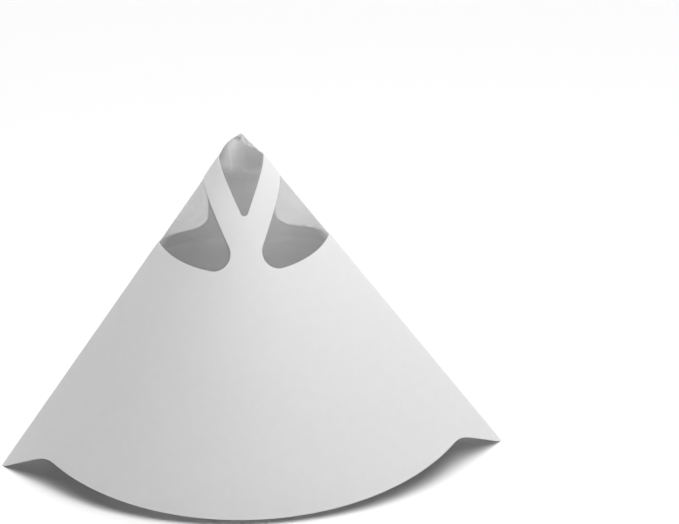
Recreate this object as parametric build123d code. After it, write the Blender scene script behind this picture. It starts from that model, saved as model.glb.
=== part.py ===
from build123d import *
import math
import os

# Paint strainer: a paper cone opened from its flat-folded state, standing on its two ears
# with the tip up, and a nylon gauze lining glued inside the tip.
#
# The blank is half a disc with two square ears, folded at two creases into a front and
# a back panel and glued in a lap down the middle of the back. It is drawn flat for its
# right half: the tip is at the drawing's origin, the middle of the front panel runs along
# +Y and the middle of the back panel along +X, with the crease halfway between them.
# Each opened panel follows a round cone, tilted so that both meet at the creases.
# Lengths are in millimetres and angles in degrees.

# Blank
panel_angle = 90.0
rim_radius = 160.0
ear_length = 20.0
ear_corner_radius = 3.5
ear_notch_radius = 18.0
paper_thickness = 0.35

# Openings at the tip: a V-shaped one at the apex and one window over each crease
fork_depth = 40.0
fork_radius = 1.6
arm_lean = 21.7
arm_width = 9.9
window_radius = 60.7
front_corner_radius = 7.0
back_corner_radius = 5.0
top_corner_radius = 2.5
back_stem_half_width = 14.0

# Lap down the back, where one edge of the blank lies on the other
lap_width = 12.0

# Gauze lining
gauze_thickness = 0.15
gauze_margin = 7.5
gauze_nose_drop = 4.8
gauze_nose_radius = 7.0
glue_gap = 0.05

# Stance: height of the rim's middles above the table on which the ear tips rest
rim_lift = 2.1

# Construction
overrun = 20.0
crease_overlap_angle = 4.0
points_per_edge = 33
halvings = 60

FRONT = -1
BACK = 1


# Opened shape

def crease_angle(curl):
    """Angle from the upright axis to a crease when each panel follows a cone of half-angle curl."""
    sine = math.sin(curl)
    return math.asin(sine * math.sin(min(math.radians(panel_angle) / (2 * sine), math.pi / 2)))


def panel_tilt(curl):
    """Tilt of a panel's cone axis away from the upright axis."""
    return math.acos(min(math.cos(curl) / math.cos(crease_angle(curl)), 1))


# Each ear is a square corner of the flat blank, its point on the crease
ear_reach = (rim_radius + ear_length) / math.sqrt(2)
ear_tip_radius = rim_radius + ear_length - ear_corner_radius * (math.sqrt(2) - 1)


def ear_drop(curl):
    """Height from the tip down to the inner corner of an ear's tip."""
    crease = crease_angle(curl)
    return ear_tip_radius * math.cos(crease) + paper_thickness * math.sin(crease)


def rim_drop(curl):
    """Height from the tip down to the inner corner of the rim at a panel's middle."""
    middle = curl - panel_tilt(curl)
    return rim_radius * math.cos(middle) + paper_thickness * math.sin(middle)


def standing_curl():
    """Curl at which the ear tips stand lower than the middles of the rim by rim_lift."""
    low = math.asin(math.radians(panel_angle) / math.pi)
    high = math.pi / 2
    for _ in range(halvings):
        curl = (low + high) / 2
        if rim_drop(curl) + rim_lift < ear_drop(curl):
            low = curl
        else:
            high = curl
    return (low + high) / 2


curl = standing_curl()
tilt = panel_tilt(curl)
stock_radius = ear_tip_radius + 2 * overrun
block_size = 3 * stock_radius


def panel_axis(side):
    return Vector(0, -side * math.sin(tilt), -math.cos(tilt))


def panel_middle(side):
    return Vector(0, side * math.cos(tilt), -math.sin(tilt))


def round_direction(turn, side):
    """Direction square to the panel's axis, turned away from the panel's middle."""
    return Vector(1, 0, 0) * math.sin(turn) + panel_middle(side) * math.cos(turn)


def panel_point(across, down, side):
    """Place on the outer face of an opened panel of a point on the flat panel."""
    turn = math.atan2(across, down) / math.sin(curl)
    direction = panel_axis(side) * math.cos(curl) + round_direction(turn, side) * math.sin(curl)
    return direction * math.hypot(across, down)


def panel_normal(turn, side):
    return round_direction(turn, side) * math.cos(curl) - panel_axis(side) * math.sin(curl)


def panel_space(side):
    """Block that holds everything on one panel's side of the two creases."""
    alignment = Align.MAX if side == FRONT else Align.MIN
    return Box(block_size, block_size, block_size, align=(Align.CENTER, alignment, Align.CENTER))


def round_solid(profile, side):
    """Solid turned about a panel's cone axis from a profile of distances out from it and up."""
    face = Plane.XZ * make_face(Polyline(*profile, close=True))
    place = Plane(origin=(0, 0, 0), x_dir=-panel_middle(side), z_dir=-panel_axis(side))
    return place * revolve(face, Axis.Z)


def panel_shell(depth, thickness, side):
    """Sheet of one panel, its outer face set in by depth from the paper's outer face."""
    height = stock_radius * math.cos(curl)
    width = stock_radius * math.sin(curl)
    upper = -depth / math.sin(curl)
    lower = -(depth + thickness) / math.sin(curl)
    profile = [(0, upper), (width, upper - height), (width, lower - height), (0, lower)]
    return round_solid(profile, side) & panel_space(side)


def cone_shell(depth, thickness):
    return panel_shell(depth, thickness, FRONT) + panel_shell(depth, thickness, BACK)


def inside_of_cone(depth):
    """Solid between the two panels, set in by depth from the paper's outer face."""
    height = stock_radius * math.cos(curl)
    upper = -depth / math.sin(curl)
    profile = [(0, upper), (stock_radius * math.sin(curl), upper - height), (0, upper - height)]
    halves = [round_solid(profile, side) & panel_space(side) for side in (FRONT, BACK)]
    return halves[0] + halves[1]


# Flat drawings, each for the right half of the blank

def sector(low, high):
    """Flat wedge between two directions, in degrees from the middle of the front panel."""
    reach = 2 * (ear_tip_radius + overrun)
    corners = [(reach * math.sin(math.radians(a)), reach * math.cos(math.radians(a))) for a in (low, high)]
    return make_face(Polyline((0, 0), corners[0], corners[1], close=True))


def outside_of_blank():
    disc = Circle(rim_radius)
    ears = Rectangle(2 * ear_reach, 2 * ear_reach)
    ears = fillet(ears.vertices(), ear_corner_radius)
    blank = disc + ears
    on_rim = [v for v in blank.vertices() if math.isclose(math.hypot(v.X, v.Y), rim_radius, rel_tol=1e-6)]
    blank = fillet(on_rim, ear_notch_radius)
    return Circle(ear_tip_radius + overrun) - blank


def arm_edge(width, across):
    """Distance down from the tip of the arm's edge, offset by width, at a distance across."""
    lean = math.radians(arm_lean)
    return fork_depth + width / math.sin(lean) - across / math.tan(lean)


def side_window():
    lean = math.radians(arm_lean)
    top_across = (arm_edge(arm_width, 0) - back_stem_half_width) * math.tan(lean)
    low_across = (arm_edge(arm_width, 0) - window_radius - overrun) * math.tan(lean)
    top = Vector(top_across, back_stem_half_width)
    low = (low_across, window_radius + overrun)
    far = (window_radius + overrun, window_radius + overrun)
    outer = (window_radius + overrun, back_stem_half_width)
    corners = make_face(Polyline(top, low, far, outer, close=True))
    window = corners & Circle(window_radius)
    window = fillet(window.vertices().sort_by(Axis.X)[0], front_corner_radius)
    window = fillet(window.vertices().sort_by(Axis.X)[-1], back_corner_radius)
    return fillet(window.vertices().sort_by_distance(top)[0], top_corner_radius)


def apex_opening():
    foot = arm_edge(0, 0)
    half_width = foot * math.tan(math.radians(arm_lean))
    above = [(-half_width, 0), (-half_width, -overrun), (half_width, -overrun), (half_width, 0)]
    opening = make_face(Polyline((0, foot), *above, close=True))
    return fillet(opening.vertices().sort_by(Axis.Y)[-1], fork_radius)


def lap():
    length = ear_tip_radius + overrun
    return Pos(length / 2, 0) * Rectangle(length, lap_width)


# Folding a flat drawing

def folded(drawing, side):
    """Prism that cuts the flat drawing out of the right half of one panel."""
    half = panel_angle / 2
    if side == FRONT:
        drawing = drawing & sector(-crease_overlap_angle, half + crease_overlap_angle)
    else:
        drawing = drawing & sector(half - crease_overlap_angle, panel_angle + crease_overlap_angle)
    middle_turn = math.radians(half) / math.sin(curl) / 2
    plane = Plane(origin=(0, 0, 0), z_dir=panel_normal(middle_turn, side))
    edges = []
    for edge in drawing.edges():
        steps = [i / (points_per_edge - 1) for i in range(points_per_edge)]
        flat = [edge.position_at(step) for step in steps]
        if side == FRONT:
            placed = [panel_point(p.X, p.Y, side) for p in flat]
        else:
            placed = [panel_point(p.Y, p.X, side) for p in flat]
        local = [plane.to_local_coords(p) for p in placed]
        edges.append(plane.from_local_coords(Edge.make_spline([Vector(p.X, p.Y, 0) for p in local])))
    face = Face(Wire(edges))
    prism = extrude(face, ear_tip_radius + overrun, plane.z_dir, both=True)
    return prism & panel_space(side)


def right_space():
    """Block that holds everything right of the plane that the two halves mirror in."""
    return Box(block_size, block_size, block_size, align=(Align.MIN, Align.CENTER, Align.CENTER))


def right_panel(side):
    """Right half of one panel, with its openings cut and at the back its half of the lap."""
    sheet = panel_shell(0, paper_thickness, side) & right_space()
    if side == BACK:
        leaf = panel_shell(-paper_thickness, paper_thickness, side) & right_space()
        sheet = sheet + (leaf & folded(lap(), side))
    for drawing in (outside_of_blank(), side_window(), apex_opening()):
        sheet = sheet - folded(drawing, side)
    return sheet


def make_paper():
    right = right_panel(FRONT) + right_panel(BACK)
    paper = right + mirror(right, Plane.YZ)
    return paper & Sphere(ear_tip_radius + overrun / 2)


def make_gauze():
    depth = paper_thickness + glue_gap
    sides = cone_shell(depth, gauze_thickness) & Sphere(window_radius + gauze_margin)
    nose_centre = Pos(0, 0, -gauze_nose_drop - gauze_nose_radius)
    nose = nose_centre * Sphere(gauze_nose_radius)
    nose_shell = nose - nose_centre * Sphere(gauze_nose_radius - gauze_thickness)
    reach = 2 * gauze_nose_radius
    foot = Pos(0, 0, -2 * gauze_nose_drop)
    tip_space = foot * Box(reach, reach, reach, align=(Align.CENTER, Align.CENTER, Align.MIN))
    nose_shell = nose_shell & inside_of_cone(depth) & tip_space
    return (sides - (tip_space - nose)) + nose_shell


paper_cone = make_paper()
gauze_lining = make_gauze()

# The finished part stands on the plane Z = 0, centred on the Z axis
outline = Compound([paper_cone, gauze_lining]).bounding_box()
to_table = Pos(-outline.center().X, -outline.center().Y, -outline.min.Z)

os.makedirs("parts", exist_ok=True)
for name, piece in {"paper_cone": paper_cone, "gauze_lining": gauze_lining}.items():
    piece = to_table * piece
    piece.label = name
    export_step(piece, os.path.join("parts", name + ".step"))
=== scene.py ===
import math

import bpy
import numpy as np
from mathutils import Matrix, Vector, geometry


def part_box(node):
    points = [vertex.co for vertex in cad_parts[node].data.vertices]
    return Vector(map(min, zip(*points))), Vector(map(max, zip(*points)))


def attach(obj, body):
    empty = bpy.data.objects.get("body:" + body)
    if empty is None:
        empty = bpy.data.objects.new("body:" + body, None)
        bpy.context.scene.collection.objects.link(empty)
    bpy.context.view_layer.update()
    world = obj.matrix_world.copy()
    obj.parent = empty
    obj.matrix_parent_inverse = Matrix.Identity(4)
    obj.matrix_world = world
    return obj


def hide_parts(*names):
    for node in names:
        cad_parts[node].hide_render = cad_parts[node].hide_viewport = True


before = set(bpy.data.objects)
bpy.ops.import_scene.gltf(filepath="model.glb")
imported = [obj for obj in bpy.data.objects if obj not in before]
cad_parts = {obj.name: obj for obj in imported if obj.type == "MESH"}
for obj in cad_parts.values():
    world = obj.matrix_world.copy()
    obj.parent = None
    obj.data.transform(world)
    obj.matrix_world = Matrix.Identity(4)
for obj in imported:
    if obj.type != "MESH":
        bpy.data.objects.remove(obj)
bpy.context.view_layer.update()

# Paint strainer: an opened paper cone that stands on its two ears with the tip up, and a nylon
# gauze lining in its tip, on a plain pale floor. Both sheets are drawn flat and then placed on
# the opened cone. Lengths are in metres and angles in radians.
MM = 0.001

# Flat blank of the paper: the tip is at the origin, the middle of the front panel runs along
# +V, the right crease halfway between +V and +U, and the middle of the back panel along +U for
# the right half and along -U for the left half. The two leaves lap there.
PANEL_ANGLE = math.radians(90.0)
HALF_PANEL_ANGLE = PANEL_ANGLE / 2
RIM_RADIUS = 160.0 * MM
EAR_LENGTH = 20.0 * MM
EAR_CORNER_RADIUS = 3.5 * MM
EAR_NOTCH_RADIUS = 18.0 * MM
PAPER_THICKNESS = 0.35 * MM
FORK_DEPTH = 40.0 * MM
FORK_RADIUS = 1.6 * MM
ARM_LEAN = math.radians(21.7)
ARM_WIDTH = 9.9 * MM
WINDOW_RADIUS = 60.7 * MM
FRONT_CORNER_RADIUS = 7.0 * MM
BACK_CORNER_RADIUS = 5.0 * MM
TOP_CORNER_RADIUS = 2.5 * MM
BACK_STEM_HALF_WIDTH = 14.0 * MM
LAP_WIDTH = 12.0 * MM
LAP_LIFT = 0.15 * MM
LAP_RISE_LENGTH = 14.0 * MM
LAP_FADE_ANGLE = math.radians(15.0)
CREASE_ROUNDING = 0.9 * MM

# Stance: height of the rim's middles above the table on which the ear tips rest
RIM_LIFT = 2.1 * MM

# Gauze, a half disc on the same flat blank
GAUZE_THICKNESS = 0.15 * MM
GAUZE_MARGIN = 7.5 * MM
GAUZE_GAP = 0.10 * MM
GAUZE_DEPTH = PAPER_THICKNESS + GAUZE_GAP
GAUZE_NOSE_DROP = 4.8 * MM
GAUZE_LAP = 6.0 * MM
GAUZE_RADIUS = WINDOW_RADIUS + GAUZE_MARGIN
GAUZE_HOLE = 0.4 * MM
# Width of the glue along the paper's edges on the gauze, with painted shade of the paper's cut
# edge there
GAUZE_GLUE_AND_SHADE_WIDTH = 1.3 * MM

# Cap that the gauze makes over the tip, above the paper's arms
CAP_RADIUS = 17.0 * MM
CAP_PEAK = np.array([0.35, 0.0, -3.75]) * MM
CAP_LEFT_BULGE = 1.5 * MM
CAP_FACE_BULGE = 0.8 * MM
CAP_BULGE_POWER = 1.2
CAP_PLEATS = (
    # waves to a full turn, start, twist from peak to foot, height
    (9, 0.8, 0.0, 0.16 * MM),
    (17, 0.0, 14.0, 0.096 * MM),
)

# Where the gauze lies in pleats: from under a thin cap, which is larger at the right, down
THIN_CAP_RADIUS = 2.2 * MM
THIN_CAP_DROP = 8.5 * MM
THIN_CAP_FADE = 3.0 * MM
PLEATS_RADIUS = 16.0 * MM
PLEATS_FADE = 7.0 * MM

# Where glue fills the gauze: along the creases by the lower end of each window
GLUE_WIDTH = 3.5 * MM
GLUE_RADIUS = 46.0 * MM
GLUE_FADE = 12.0 * MM
GLUE_DOUBLING = 0.55

# Share of each face of the gauze that its threads cover, at a thread and between threads
GAUZE_PITCH = 0.35 * MM
THREAD_SHARPNESS = 2.0
GAUZE_THREAD_COVER = 0.37
GAUZE_HOLE_COVER = 0.12
GAUZE_DOUBLE_COVER = 0.40
# Denser cover along the window edges: glue, and painted shade of the paper's cut edge
GAUZE_GLUED_AND_SHADE_COVER = 0.08
GAUZE_ON_PAPER = 0.08
GAUZE_MOTTLE = 0.06

# Tone of the threads, and how much of the pale tone each part of the gauze has: painted light and
# painted shade over the tip, a pale arc, and glue
GAUZE_TONE = 0.40
GAUZE_WEAVE_TONE = 0.06
GAUZE_PALE_AND_PAINTED_LIGHT_TONE = 0.42
# Painted light: the top of the tip lighter, where light falls from above
PAINTED_LIGHT_TOP = 0.14
PAINTED_LIGHT_TOP_RADIUS = 9.0 * MM
PAINTED_LIGHT_TOP_FADE = 8.0 * MM
# Painted light: a patch at the left of the cap, where light falls in through the apex opening
PAINTED_LIGHT_LEFT = 0.72
PAINTED_LIGHT_LEFT_ANGLE = math.radians(-26.0)
PAINTED_LIGHT_LEFT_WIDTH = math.radians(18.0)
# Painted shade: the right of the cap darker
PAINTED_SHADE_RIGHT = 0.12
PAINTED_SHADE_RIGHT_FADE = math.radians(10.0)
# Painted light: a pale streak down the cap, the lit edge of the paper behind
PAINTED_LIGHT_STREAK = 0.22
PAINTED_LIGHT_STREAK_ACROSS = -4.4 * MM
PAINTED_LIGHT_STREAK_WIDTH = 0.45 * MM
# A pale arc across the cap, lower towards the right
PALE_ARC = 0.2
PALE_ARC_RADIUS = 17.7 * MM
PALE_ARC_DROP = 3.0 * MM
PALE_ARC_DROP_ANGLE = math.radians(8.0)
PALE_ARC_WIDTH = 0.6 * MM
PALE_ARC_START = math.radians(-3.0)
PALE_ARC_START_FADE = math.radians(6.0)
PALE_ARC_END = math.radians(24.0)
PALE_ARC_END_FADE = math.radians(8.0)
# Painted light: a band below the cap lighter, where more light falls in on the upper inside
PAINTED_LIGHT_BAND = 0.5
PAINTED_LIGHT_BAND_START = 17.0 * MM
PAINTED_LIGHT_BAND_START_FADE = 10.0 * MM
PAINTED_LIGHT_BAND_END = 40.0 * MM
PAINTED_LIGHT_BAND_END_FADE = 20.0 * MM
PALE_GLUE = 0.5

# Surfaces, as values of the shader's and the textures' own sockets
PAPER_SURFACE = {
    "Roughness": 0.62,
    "Specular IOR Level": 0.35,
    "Subsurface Weight": 0.35,
    "Subsurface Radius": (1.0, 0.98, 0.95),
    "Subsurface Scale": 0.8 * MM,
}
PAPER_CLOUD = {"Scale": 260.0, "Detail": 4.0, "Roughness": 0.6}
PAPER_TONES = (
    # place on the ramp, colour
    (0.30, (0.776, 0.774, 0.777, 1.0)),
    (0.70, (0.794, 0.792, 0.796, 1.0)),
)
PAPER_FIBRE = {"Scale": 1900.0, "Detail": 3.0, "Distortion": 0.6}
PAPER_BUMP = {"Strength": 0.25, "Distance": 0.03 * MM}
GAUZE_SURFACE = {"Roughness": 0.45, "Specular IOR Level": 0.3}
GAUZE_CLOUD = {"Scale": 95.0, "Detail": 3.0}
GAUZE_BUMP = {"Strength": 0.3, "Distance": 0.04 * MM}
FLOOR_SURFACE = {
    "Base Color": (0.93, 0.93, 0.93, 1.0),
    "Roughness": 0.9,
    "Specular IOR Level": 0.1,
}
WORLD_LIGHT = {"Color": (1.0, 1.0, 1.0, 1.0), "Strength": 0.09}

# Mesh: an even grid on the paper, rows along the creases, and rings on the gauze
GRID_STEP = 1.7 * MM
GRID_SPAN = 1.1 * math.pi
GRID_CLEARANCE = 0.6 * GRID_STEP
EDGE_STEP = 0.9 * MM
ARC_STEP = math.radians(9.0)
CREASE_ROWS = (-1.0, -0.5, 0.0, 0.5, 1.0)
CREASE_ROW_CLEARANCE = 0.35 * EDGE_STEP
CREASE_CLEARANCE = 1.6 * CREASE_ROUNDING
CAP_RINGS = 36
GAUZE_RINGS = 84
GAUZE_COLUMNS = 300

# Step over which a slope is measured, least length to divide by, and halvings of a search
SLOPE_STEP = 0.05 * MM
TINY = 1e-12
HALVINGS = 60

# What the triangulation gives back, and the distance within which it merges points
INSIDE_ONLY = 1
MERGE_DISTANCE = 1e-6

# Camera, fitted to the photograph
CAMERA_AZIMUTH = math.radians(-2.47)
CAMERA_ELEVATION = math.radians(23.17)
CAMERA_ROLL = math.radians(1.84)
CAMERA_DISTANCE = 3.1158
CAMERA_LENS_MM = 408.3
CAMERA_SENSOR_MM = 36.0
CAMERA_CLIP = (0.1, 50.0)
CAMERA_TARGET_FROM_TIP = Vector((37.5, -24.6, -52.1)) * MM

# Stage
FLOOR_REACH = 60.0
LAMP_TARGET = (0.0, 0.0, 0.07)
LAMPS = (
    # name, place, diameter, power in watts
    ("key", (0.15, -0.28, 0.34), 0.2, 0.42),
    ("over", (0.08, -0.12, 0.33), 0.14, 0.16),
)
SUNS = (
    # name, direction it shines from, width, strength
    ("top", (0.05, 0.05, 1.0), math.radians(65.0), 1.25),
    ("rear", (0.1, 0.8, 1.0), math.radians(65.0), 2.15),
)


# Opened shape: each panel follows a round cone of half-angle CURL, tilted by TILT

def crease_angle(curl):
    """Angle from the upright axis to a crease."""
    sine = math.sin(curl)
    return math.asin(sine * math.sin(min(PANEL_ANGLE / (2 * sine), math.pi / 2)))


def panel_tilt(curl):
    """Tilt of a panel's cone axis away from the upright axis."""
    return math.acos(min(math.cos(curl) / math.cos(crease_angle(curl)), 1))


def fold_half_angle(curl):
    """Half of the angle by which the paper turns at a crease."""
    tilt = panel_tilt(curl)
    turn = HALF_PANEL_ANGLE / math.sin(curl)
    towards_middle = math.cos(curl) * math.cos(tilt) * math.cos(turn)
    return math.asin(towards_middle + math.sin(curl) * math.sin(tilt))


EAR_TIP_RADIUS = RIM_RADIUS + EAR_LENGTH - EAR_CORNER_RADIUS * (math.sqrt(2) - 1)
EAR_REACH = (RIM_RADIUS + EAR_LENGTH) / math.sqrt(2)


def standing_curl():
    """Curl at which the ear tips stand lower than the middles of the rim by RIM_LIFT."""
    low, high = math.asin(PANEL_ANGLE / math.pi), math.pi / 2
    for _ in range(HALVINGS):
        curl = (low + high) / 2
        crease = crease_angle(curl)
        middle = curl - panel_tilt(curl)
        ear = EAR_TIP_RADIUS * math.cos(crease) + PAPER_THICKNESS * math.sin(crease)
        rim = RIM_RADIUS * math.cos(middle) + PAPER_THICKNESS * math.sin(middle)
        if rim + RIM_LIFT < ear:
            low = curl
        else:
            high = curl
    return (low + high) / 2


CURL = standing_curl()
TILT = panel_tilt(CURL)
CREASE = crease_angle(CURL)
FOLD_HALF_ANGLE = fold_half_angle(CURL)
RIGHT_CREASE_INWARD = np.array([-math.cos(CREASE), 0.0, -math.sin(CREASE)])
LEFT_CREASE_INWARD = np.array([math.cos(CREASE), 0.0, -math.sin(CREASE)])

GAUZE_LOW, GAUZE_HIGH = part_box("gauze_lining")
TIP = Vector((0.0, (GAUZE_LOW[1] + GAUZE_HIGH[1]) / 2, GAUZE_HIGH[2] + GAUZE_NOSE_DROP))


def smooth(x):
    x = np.clip(x, 0.0, 1.0)
    return x * x * (3 - 2 * x)


def rising(x, start, length):
    """None up to a start, and one from a length further on."""
    return smooth((x - start) / length)


def falling(x, start, length):
    """One up to a start, and none from a length further on."""
    return 1 - rising(x, start, length)


def bell(x, middle, width):
    """One at a middle, less to both sides."""
    return np.exp(-((x - middle) / width) ** 2)


def polar(u, v):
    """Distance of flat points from the tip, and their angle from the middle of the front."""
    return np.hypot(u, v), np.arctan2(u, v)


def from_crease(radius, angle):
    """Distance of flat points from the nearer crease, round the tip."""
    return radius * np.abs(np.abs(angle) - HALF_PANEL_ANGLE)


def cone_place(u, v):
    """Places on the opened cone, relative to its tip, of flat points."""
    radius, angle = polar(u, v)
    at_back = np.abs(angle) > HALF_PANEL_ANGLE
    back_middle = np.where(angle >= 0, PANEL_ANGLE, -PANEL_ANGLE)
    turn = np.where(at_back, back_middle - angle, angle) / math.sin(CURL)
    side = np.where(at_back, 1.0, -1.0)
    round_out = math.sin(CURL) * np.cos(turn)
    across = math.sin(CURL) * np.sin(turn)
    out = side * (round_out * math.cos(TILT) - math.cos(CURL) * math.sin(TILT))
    up = -math.cos(CURL) * math.cos(TILT) - round_out * math.sin(TILT)
    places = np.stack([across, out, up], -1) * radius[..., None]
    # The fold at each crease is a small round instead of a sharp line
    within = np.clip(CREASE_ROUNDING - from_crease(radius, angle), 0, None)
    pull = within ** 2 / (2 * CREASE_ROUNDING) * math.tan(FOLD_HALF_ANGLE)
    inward = np.where(angle[..., None] >= 0, RIGHT_CREASE_INWARD, LEFT_CREASE_INWARD)
    return places + inward * pull[..., None]


def surface(place, u, v):
    """Places and outward normals of a mapping of flat points."""
    along_u = place(u + SLOPE_STEP, v) - place(u - SLOPE_STEP, v)
    along_v = place(u, v + SLOPE_STEP) - place(u, v - SLOPE_STEP)
    normal = np.cross(along_v, along_u)
    normal /= np.linalg.norm(normal, axis=-1, keepdims=True)
    return place(u, v), normal


# Outlines on the flat blank, each without its last point unless it says so

def line(start, end):
    start, end = np.array(start), np.array(end)
    count = max(1, int(round(np.linalg.norm(end - start) / EDGE_STEP)))
    return [tuple(start + (end - start) * i / count) for i in range(count)]


def arc(centre, radius, start, end):
    """Points round a centre from one angle to another, counted from +V towards +U."""
    step = min(ARC_STEP, EDGE_STEP / radius)
    count = max(2, int(math.ceil(abs(end - start) / step)))
    angles = [start + (end - start) * i / count for i in range(count)]
    return [(centre[0] + radius * math.sin(a), centre[1] + radius * math.cos(a)) for a in angles]


def angle_of(point, centre=(0.0, 0.0)):
    return math.atan2(point[0] - centre[0], point[1] - centre[1])


def corner(centre, radius, start, end):
    """Round corner from start to end, the short way."""
    first, last = angle_of(start, centre), angle_of(end, centre)
    while last - first > math.pi:
        last -= 2 * math.pi
    while last - first < -math.pi:
        last += 2 * math.pi
    return arc(centre, radius, first, last)


def window_outline():
    """Right window, from its top corner round by the front corner and the back corner."""
    arm_edge = FORK_DEPTH * math.sin(ARM_LEAN) + ARM_WIDTH
    along = np.array([-math.sin(ARM_LEAN), math.cos(ARM_LEAN)])
    square = np.array([math.cos(ARM_LEAN), math.sin(ARM_LEAN)])

    reach = WINDOW_RADIUS - FRONT_CORNER_RADIUS
    out = arm_edge + FRONT_CORNER_RADIUS
    front = square * out + along * math.sqrt(reach ** 2 - out ** 2)
    front_start = front - square * FRONT_CORNER_RADIUS
    front_end = front * WINDOW_RADIUS / reach

    reach = WINDOW_RADIUS - BACK_CORNER_RADIUS
    height = BACK_STEM_HALF_WIDTH + BACK_CORNER_RADIUS
    back = np.array([math.sqrt(reach ** 2 - height ** 2), height])
    back_start = back * WINDOW_RADIUS / reach
    back_end = back - np.array([0.0, BACK_CORNER_RADIUS])

    height = BACK_STEM_HALF_WIDTH + TOP_CORNER_RADIUS
    out = arm_edge + TOP_CORNER_RADIUS
    top = np.array([(out - height * math.sin(ARM_LEAN)) / math.cos(ARM_LEAN), height])
    top_start = top - np.array([0.0, TOP_CORNER_RADIUS])
    top_end = top - square * TOP_CORNER_RADIUS

    points = line(top_end, front_start)
    points += corner(front, FRONT_CORNER_RADIUS, front_start, front_end)
    points += arc((0, 0), WINDOW_RADIUS, angle_of(front_end), angle_of(back_start))
    points += corner(back, BACK_CORNER_RADIUS, back_start, back_end)
    points += line(back_end, top_start)
    points += corner(top, TOP_CORNER_RADIUS, top_start, top_end)
    return points


def apex_edge():
    """Right edge of the apex opening, from the fork up the arm to the lap, both ends included."""
    fork = (0.0, (FORK_DEPTH * math.sin(ARM_LEAN) - FORK_RADIUS) / math.sin(ARM_LEAN))
    fork_start = (0.0, fork[1] + FORK_RADIUS)
    fork_end = (FORK_RADIUS * math.cos(ARM_LEAN), fork[1] + FORK_RADIUS * math.sin(ARM_LEAN))
    lap = -LAP_WIDTH / 2
    lap_top = ((FORK_DEPTH - lap) * math.tan(ARM_LEAN), lap)
    return corner(fork, FORK_RADIUS, fork_start, fork_end) + line(fork_end, lap_top) + [lap_top]


def half_outline():
    """Right half of the blank's outer edge, from the fork to the middle of the front rim."""
    apex = apex_edge()
    lap_top = apex[-1]
    lap_foot = (math.sqrt(RIM_RADIUS ** 2 - lap_top[1] ** 2), lap_top[1])
    notch_reach = RIM_RADIUS + EAR_NOTCH_RADIUS
    height = EAR_REACH + EAR_NOTCH_RADIUS
    notch = (math.sqrt(notch_reach ** 2 - height ** 2), height)
    notch_rim = (notch[0] * RIM_RADIUS / notch_reach, notch[1] * RIM_RADIUS / notch_reach)
    notch_ear = (notch[0], EAR_REACH)
    # The back's side of the ear mirrors the front's side in the crease, the line U = V
    back_notch, back_rim, back_ear = (point[::-1] for point in (notch, notch_rim, notch_ear))
    inset = EAR_REACH - EAR_CORNER_RADIUS

    points = apex + line(lap_top, lap_foot)[1:]
    points += arc((0, 0), RIM_RADIUS, angle_of(lap_foot), angle_of(back_rim))
    points += corner(back_notch, EAR_NOTCH_RADIUS, back_rim, back_ear)
    points += line(back_ear, (EAR_REACH, inset))
    points += corner((inset, inset), EAR_CORNER_RADIUS, (EAR_REACH, inset), (inset, EAR_REACH))
    points += line((inset, EAR_REACH), notch_ear)
    points += corner(notch, EAR_NOTCH_RADIUS, notch_ear, notch_rim)
    points += arc((0, 0), RIM_RADIUS, angle_of(notch_rim), 0.0)
    return points


def mirrored(points):
    return [(-u, v) for u, v in reversed(points)]


def windows():
    """Outlines of the right and the left window."""
    right = window_outline()
    return [right, mirrored(right)]


def inside(points, loop):
    """Which points lie inside a closed loop."""
    loop = np.array(loop)
    result = np.zeros(len(points), bool)
    x, y = points.T
    for (x0, y0), (x1, y1) in zip(loop, np.roll(loop, -1, 0)):
        crosses = (y0 > y) != (y1 > y)
        height = np.where(y1 == y0, 1.0, y1 - y0)
        result ^= crosses & (x < x0 + (y - y0) / height * (x1 - x0))
    return result


def distance_to(loops, points):
    """Distance of each point from the nearest point of some loops."""
    nearest = np.full(len(points), np.inf)
    for loop in loops:
        for u, v in loop:
            nearest = np.minimum(nearest, np.hypot(points[:, 0] - u, points[:, 1] - v))
    return nearest


# Meshes

def grid_points():
    """Evenly spread points in arcs about the tip, away from the creases."""
    rows = []
    radius, shift = GRID_STEP, 0.0
    while radius < EAR_TIP_RADIUS:
        count = int(GRID_SPAN * radius / GRID_STEP) + 2
        rows += [(radius, GRID_SPAN * ((i + shift) / count - 0.5)) for i in range(count)]
        radius += GRID_STEP * math.sqrt(3) / 2
        shift = 0.5 - shift
    radius, angle = np.array(rows).T
    points = np.stack([radius * np.sin(angle), radius * np.cos(angle)], -1)
    return points[from_crease(radius, angle) > CREASE_CLEARANCE]


def crease_points():
    """Rows of points along both creases, close enough together for a round fold."""
    points = []
    for crease in (-HALF_PANEL_ANGLE, HALF_PANEL_ANGLE):
        for row in CREASE_ROWS:
            for i in range(1, int(EAR_TIP_RADIUS / EDGE_STEP)):
                along = i * EDGE_STEP
                angle = crease + row * CREASE_ROUNDING / along
                points.append((along * math.sin(angle), along * math.cos(angle)))
    return np.array(points)


def paper_triangles():
    """Flat vertices and triangles of the blank."""
    right = half_outline()
    outer = right + [(0.0, RIM_RADIUS)] + mirrored(right)[:-1]
    loops = [outer] + windows()

    def on_paper(points):
        keep = inside(points, outer)
        for window in windows():
            keep &= ~inside(points, window)
        return keep

    grid = grid_points()
    grid = grid[distance_to(loops, grid) > GRID_CLEARANCE]
    rows = crease_points()
    rows = rows[distance_to(loops, rows) > CREASE_ROW_CLEARANCE]
    inner = np.concatenate([grid, rows])
    inner = inner[on_paper(inner)]

    points, edges = [], []
    for loop in loops:
        first = len(points)
        points += loop
        edges += [(first + i, first + (i + 1) % len(loop)) for i in range(len(loop))]
    points += inner.tolist()
    made, _, faces, _, _, _ = geometry.delaunay_2d_cdt(
        [Vector(point) / MM for point in points], edges, [], INSIDE_ONLY, MERGE_DISTANCE)
    flat = np.array(made) * MM
    faces = np.array(faces)
    return flat, faces[on_paper(flat[faces].mean(1))]


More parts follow.
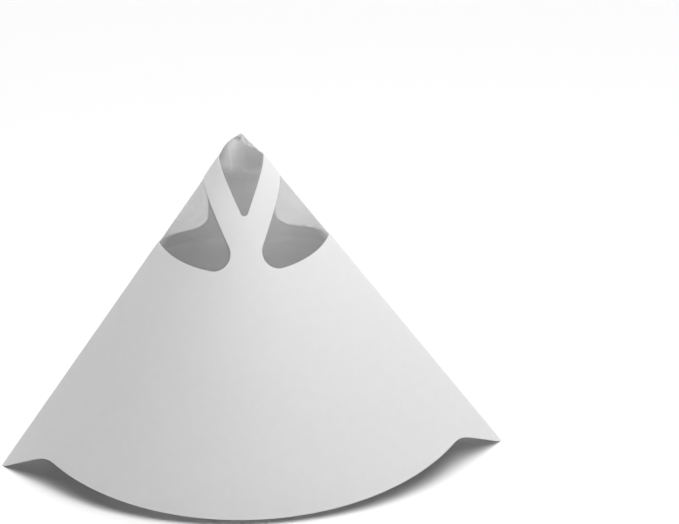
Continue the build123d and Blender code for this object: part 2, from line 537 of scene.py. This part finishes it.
def gauze_triangles():
    """Flat vertices and triangles of the gauze, in rings about the tip."""
    radii = np.concatenate([np.linspace(GAUZE_HOLE, CAP_RADIUS, CAP_RINGS),
                            np.linspace(CAP_RADIUS, GAUZE_RADIUS, GAUZE_RINGS)[1:]])
    angles = np.linspace(-PANEL_ANGLE, PANEL_ANGLE, GAUZE_COLUMNS)
    radius, angle = np.meshgrid(radii, angles, indexing="ij")
    flat = np.stack([radius * np.sin(angle), radius * np.cos(angle)], -1).reshape(-1, 2)
    index = np.arange(radius.size).reshape(radius.shape)
    a, b, c, d = index[:-1, :-1], index[:-1, 1:], index[1:, 1:], index[1:, :-1]
    halves = [np.stack(corners, -1).reshape(-1, 3) for corners in ((a, b, c), (a, c, d))]
    return flat, np.concatenate(halves)


def boundary_edges(faces):
    """Directed edges that only one triangle has."""
    edges = {}
    for a, b, c in faces.tolist():
        for edge in ((a, b), (b, c), (c, a)):
            edges[edge] = True
    return [edge for edge in edges if (edge[1], edge[0]) not in edges]


def new_object(name, data):
    made = bpy.data.objects.new(name, data)
    bpy.context.scene.collection.objects.link(made)
    return made


def thick_sheet(name, flat, faces, place, thickness):
    """Closed sheet: the outer face at place, the inner face one thickness further in."""
    outer, normal = surface(place, flat[:, 0], flat[:, 1])
    places = np.concatenate([outer, outer - normal * thickness])
    count = len(flat)
    first, second = flat[faces[:, 1]] - flat[faces[:, 0]], flat[faces[:, 2]] - flat[faces[:, 0]]
    inward = first[:, 0] * second[:, 1] > first[:, 1] * second[:, 0]
    faces = np.where(inward[:, None], faces[:, ::-1], faces)
    polygons = faces.tolist() + (faces[:, ::-1] + count).tolist()
    polygons += [(b, a, a + count, b + count) for a, b in boundary_edges(faces)]
    mesh = bpy.data.meshes.new(name)
    mesh.from_pydata((places + np.array(TIP)).tolist(), [], polygons)
    mesh.polygons.foreach_set("use_smooth", [True] * len(polygons))

    corners = np.array([i for polygon in polygons for i in polygon])
    uv = mesh.uv_layers.new(name="flat")
    uv.data.foreach_set("uv", np.concatenate([flat, flat])[corners].ravel())

    # The two faces are smooth, and the cut edge between them is square to both
    normals = np.concatenate([normal, -normal])[corners]
    sheet_corners = 2 * faces.size
    edge = places[corners[sheet_corners:]].reshape(-1, 4, 3)
    square = np.cross(edge[:, 1] - edge[:, 0], edge[:, 2] - edge[:, 1])
    square /= np.maximum(np.linalg.norm(square, axis=-1, keepdims=True), TINY)
    normals[sheet_corners:] = np.repeat(square, 4, axis=0)
    mesh.normals_split_custom_set(normals.tolist())
    mesh.update()
    return new_object(name, mesh)


def lap_rise(u, v, height, lap, length):
    """How far the left leaf of a lap stands out over the right one, at the back only."""
    by_lap = falling(v, lap / 2, length) * (u < 0)
    at_back = rising(-np.arctan2(u, v), HALF_PANEL_ANGLE, LAP_FADE_ANGLE)
    return height * by_lap * at_back


def paper_place(u, v):
    middle, normal = surface(cone_place, u, v)
    rise = lap_rise(u, v, PAPER_THICKNESS + LAP_LIFT, LAP_WIDTH, LAP_RISE_LENGTH)
    return middle + normal * rise[..., None]


def gauze_place(u, v):
    """Places just inside the paper, and over the tip a soft cap that leans to the left."""
    radius, angle = polar(u, v)
    # Points of the cap start on its foot, where the gauze leaves the paper, and are then drawn
    # together towards its peak
    reach = np.maximum(CAP_RADIUS / np.maximum(radius, GAUZE_HOLE / 2), 1.0)
    middle, normal = surface(cone_place, u * reach, v * reach)
    rise = lap_rise(u * reach, v * reach, GAUZE_THICKNESS, GAUZE_LAP, GAUZE_LAP)
    places = middle - normal * (GAUZE_DEPTH - rise)[..., None]
    share = np.minimum(radius / CAP_RADIUS, 1.0)[..., None]
    level = places * np.array([1.0, 1.0, 0.0])
    level /= np.linalg.norm(level, axis=-1, keepdims=True)
    pleats = sum(height * np.sin(waves * angle[..., None] + start + twist * share)
                 for waves, start, twist, height in CAP_PLEATS)
    to_left = np.clip(-level[..., :1], 0, None) ** 2
    to_faces = level[..., 1:2] ** 2
    bulge = CAP_LEFT_BULGE * to_left + (CAP_FACE_BULGE + pleats) * to_faces
    bulge = bulge * np.sin(math.pi * share) ** CAP_BULGE_POWER
    outward = level * math.cos(CREASE) + np.array([0.0, 0.0, math.sin(CREASE)])
    return CAP_PEAK + (places - CAP_PEAK) * share + outward * bulge


# Values that the gauze's material reads from its mesh

def in_pleats(flat):
    """One where the gauze lies in pleats, below the thin cap."""
    radius, angle = polar(*flat.T)
    cap = THIN_CAP_RADIUS + THIN_CAP_DROP * np.clip(angle / HALF_PANEL_ANGLE, 0, 1)
    return rising(radius, cap, THIN_CAP_FADE) * falling(radius, PLEATS_RADIUS, PLEATS_FADE)


def at_window_corner(flat):
    """One at the creases by the lower end of each window, where glue fills the gauze."""
    radius, angle = polar(*flat.T)
    return bell(from_crease(radius, angle), 0, GLUE_WIDTH) * rising(radius, GLUE_RADIUS, GLUE_FADE)


def off_paper(flat):
    """Which points are in a window, in the apex opening or in the cap."""
    apex = mirrored(apex_edge()) + apex_edge() + [(CAP_RADIUS, 0.0), (-CAP_RADIUS, 0.0)]
    free = np.hypot(*flat.T) < CAP_RADIUS
    for loop in windows() + [apex]:
        free |= inside(flat, loop)
    return free


def pale_and_painted_light(flat):
    """Share of the pale tone: painted light over the tip, at its left, along a streak and in a
    band lower down, painted shade at its right, and a pale arc. Glue is pale at the windows'
    corners. Wherever paper is behind, the glued gauze takes the full pale tone, painted light of
    the lit paper seen through it."""
    radius, angle = polar(*flat.T)
    pleats = in_pleats(flat)
    # Painted light over the top of the tip
    top = PAINTED_LIGHT_TOP * falling(radius, PAINTED_LIGHT_TOP_RADIUS, PAINTED_LIGHT_TOP_FADE)
    # Painted light at the left of the cap
    left = PAINTED_LIGHT_LEFT * bell(angle, PAINTED_LIGHT_LEFT_ANGLE, PAINTED_LIGHT_LEFT_WIDTH)
    # Painted shade at the right of the cap
    right = PAINTED_SHADE_RIGHT * rising(angle, 0.0, PAINTED_SHADE_RIGHT_FADE)
    # Painted light: a pale streak down the cap
    pleat = PAINTED_LIGHT_STREAK * bell(flat[:, 0], PAINTED_LIGHT_STREAK_ACROSS, PAINTED_LIGHT_STREAK_WIDTH)
    # A pale arc across the cap, lower towards the right
    drop = 1 - np.exp(-np.clip(angle, 0, None) / PALE_ARC_DROP_ANGLE)
    fold = PALE_ARC * bell(radius, PALE_ARC_RADIUS + PALE_ARC_DROP * drop, PALE_ARC_WIDTH)
    fold = fold * rising(angle, PALE_ARC_START, PALE_ARC_START_FADE)
    fold = fold * falling(angle, PALE_ARC_END, PALE_ARC_END_FADE)
    # Painted light in a band below the cap
    band = PAINTED_LIGHT_BAND * rising(radius, PAINTED_LIGHT_BAND_START, PAINTED_LIGHT_BAND_START_FADE)
    band = band * falling(radius, PAINTED_LIGHT_BAND_END, PAINTED_LIGHT_BAND_END_FADE)
    glue = PALE_GLUE * at_window_corner(flat)
    tone = top + pleats * (left - right + pleat) + fold + band + glue
    # Wherever paper is behind: glue, and painted light, the full pale tone of the lit paper seen
    # through the threads
    return np.where(off_paper(flat), tone, 1.0)


def gauze_values(flat):
    edges = windows() + [apex_edge(), mirrored(apex_edge())]
    return {
        "gauze_doubled": in_pleats(flat) + GLUE_DOUBLING * at_window_corner(flat),
        "gauze_pale_and_painted_light": pale_and_painted_light(flat),
        "gauze_free": off_paper(flat).astype(float),
        # Glue, and painted shade of the paper's cut edge, along the window edges
        "gauze_glued_and_edge_shade": falling(distance_to(edges, flat), 0.0, GAUZE_GLUE_AND_SHADE_WIDTH),
    }


# Materials

def feed(tree, node, inputs):
    """Sets a node's inputs to plain values, or links them where a value is a socket."""
    for name, value in inputs.items():
        if isinstance(value, bpy.types.NodeSocket):
            tree.links.new(value, node.inputs[name])
        else:
            node.inputs[name].default_value = value


def new_node(tree, kind, inputs):
    node = tree.nodes.new("ShaderNode" + kind)
    feed(tree, node, inputs)
    return node


def new_material(name, values):
    """Material with its node tree and its shader, whose inputs get plain values."""
    material = bpy.data.materials.new(name)
    material.use_nodes = True
    tree = material.node_tree
    shader = tree.nodes["Principled BSDF"]
    feed(tree, shader, values)
    return material, tree, shader


def math_node(tree, operation, *values):
    """Value made by a Math node from sockets or plain numbers."""
    node = tree.nodes.new("ShaderNodeMath")
    node.operation = operation
    feed(tree, node, dict(enumerate(values)))
    return node.outputs[0]


def scaled(tree, value, factor, plus):
    return math_node(tree, "MULTIPLY_ADD", value, factor, plus)


def point_value(tree, name):
    """Value that the mesh holds at its points under a name."""
    node = tree.nodes.new("ShaderNodeAttribute")
    node.attribute_name = name
    return node.outputs["Fac"]


def paper_material():
    """Matt white paper with a faint cloudy tone and fine fibres."""
    material, tree, shader = new_material("white_paper", PAPER_SURFACE)
    place = new_node(tree, "TexCoord", {}).outputs["Object"]
    cloud = new_node(tree, "TexNoise", {"Vector": place, **PAPER_CLOUD})
    fibre = new_node(tree, "TexNoise", {"Vector": place, **PAPER_FIBRE})
    tone = new_node(tree, "ValToRGB", {"Fac": cloud.outputs["Fac"]})
    for element, (position, colour) in zip(tone.color_ramp.elements, PAPER_TONES):
        element.position = position
        element.color = colour
    bump = new_node(tree, "Bump", {"Height": fibre.outputs["Fac"], **PAPER_BUMP})
    feed(tree, shader, {"Base Color": tone.outputs["Color"], "Normal": bump.outputs["Normal"]})
    return material


def gauze_material():
    """Nylon threads over and under each other, grey because little light comes back from them."""
    material, tree, shader = new_material("nylon_gauze", GAUZE_SURFACE)
    uv_map = tree.nodes.new("ShaderNodeUVMap")
    uv_map.uv_map = "flat"
    flat = uv_map.outputs["UV"]
    split = new_node(tree, "SeparateXYZ", {"Vector": flat})
    threads = []
    for axis in ("X", "Y"):
        turn = math_node(tree, "MULTIPLY", split.outputs[axis], 2 * math.pi / GAUZE_PITCH)
        threads.append(scaled(tree, math_node(tree, "COSINE", turn), 0.5, 0.5))
    weave = math_node(tree, "MAXIMUM", *threads)
    weave = math_node(tree, "POWER", weave, THREAD_SHARPNESS)
    cloud = new_node(tree, "TexNoise", {"Vector": flat, **GAUZE_CLOUD})

    mottle = scaled(tree, cloud.outputs["Fac"], GAUZE_MOTTLE, -GAUZE_MOTTLE / 2)
    cover = scaled(tree, weave, GAUZE_THREAD_COVER - GAUZE_HOLE_COVER, GAUZE_HOLE_COVER)
    cover = math_node(tree, "ADD", cover, mottle)
    free = scaled(tree, point_value(tree, "gauze_free"), 1 - GAUZE_ON_PAPER, GAUZE_ON_PAPER)
    cover = math_node(tree, "MULTIPLY", cover, free)
    cover = scaled(tree, point_value(tree, "gauze_doubled"), GAUZE_DOUBLE_COVER, cover)
    # Denser and darker along the window edges: glue, and painted shade of the paper's cut edge
    cover = scaled(tree, point_value(tree, "gauze_glued_and_edge_shade"), GAUZE_GLUED_AND_SHADE_COVER, cover)

    tone = scaled(tree, weave, GAUZE_WEAVE_TONE, GAUZE_TONE)
    # Pale tone: glue, a pale arc, and painted light and painted shade
    tone = scaled(tree, point_value(tree, "gauze_pale_and_painted_light"), GAUZE_PALE_AND_PAINTED_LIGHT_TONE, tone)
    bump = new_node(tree, "Bump", {"Height": weave, **GAUZE_BUMP})
    feed(tree, shader, {"Base Color": tone, "Alpha": cover, "Normal": bump.outputs["Normal"]})
    return material


# Pieces

def make_paper():
    flat, faces = paper_triangles()
    piece = thick_sheet("cone_paper", flat, faces, paper_place, PAPER_THICKNESS)
    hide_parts("paper_cone")
    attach(piece, "root")
    piece.data.materials.append(paper_material())


def make_gauze():
    flat, faces = gauze_triangles()
    piece = thick_sheet("tip_gauze", flat, faces, gauze_place, GAUZE_THICKNESS)
    for name, values in gauze_values(flat).items():
        attribute = piece.data.attributes.new(name, "FLOAT", "POINT")
        attribute.data.foreach_set("value", np.tile(values, 2).astype(np.float32))
    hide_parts("gauze_lining")
    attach(piece, "root")
    piece.data.materials.append(gauze_material())


# Stage

def make_floor():
    mesh = bpy.data.meshes.new("floor")
    r = FLOOR_REACH
    mesh.from_pydata([(-r, -r, 0), (r, -r, 0), (r, r, 0), (-r, r, 0)], [], [(0, 1, 2, 3)])
    floor = new_object("floor", mesh)
    material, _, _ = new_material("pale_floor", FLOOR_SURFACE)
    floor.data.materials.append(material)


def make_lights():
    """Two soft lamps by the object, two wide suns and a little even light."""
    for name, place, diameter, power in LAMPS:
        data = bpy.data.lights.new(name, "AREA")
        data.shape = "DISK"
        data.size = diameter
        data.energy = power
        lamp = new_object(name, data)
        lamp.location = place
        lamp.rotation_mode = "QUATERNION"
        towards = Vector(LAMP_TARGET) - Vector(place)
        lamp.rotation_quaternion = towards.to_track_quat("-Z", "Y")
    for name, direction, width, strength in SUNS:
        data = bpy.data.lights.new(name, "SUN")
        data.angle = width
        data.energy = strength
        sun = new_object(name, data)
        sun.rotation_mode = "QUATERNION"
        sun.rotation_quaternion = Vector(direction).to_track_quat("Z", "Y")
    world = bpy.data.worlds.new("studio")
    world.use_nodes = True
    feed(world.node_tree, world.node_tree.nodes["Background"], WORLD_LIGHT)
    bpy.context.scene.world = world
    bpy.context.scene.view_settings.view_transform = "Standard"


def make_camera():
    data = bpy.data.cameras.new("camera")
    data.lens = CAMERA_LENS_MM
    data.sensor_width = CAMERA_SENSOR_MM
    data.clip_start, data.clip_end = CAMERA_CLIP
    camera = new_object("camera", data)
    a, e, roll = CAMERA_AZIMUTH, CAMERA_ELEVATION, CAMERA_ROLL
    ahead = Vector((-math.sin(a) * math.cos(e), math.cos(a) * math.cos(e), -math.sin(e)))
    level = Vector((math.cos(a), math.sin(a), 0))
    up = level.cross(ahead) * math.cos(roll) + level * math.sin(roll)
    right = ahead.cross(up)
    rotation = Matrix((right, up, -ahead)).transposed()
    place = TIP + CAMERA_TARGET_FROM_TIP - ahead * CAMERA_DISTANCE
    camera.matrix_world = Matrix.Translation(place) @ rotation.to_4x4()
    bpy.context.scene.camera = camera


make_camera()
make_lights()
make_floor()
make_paper()
make_gauze()
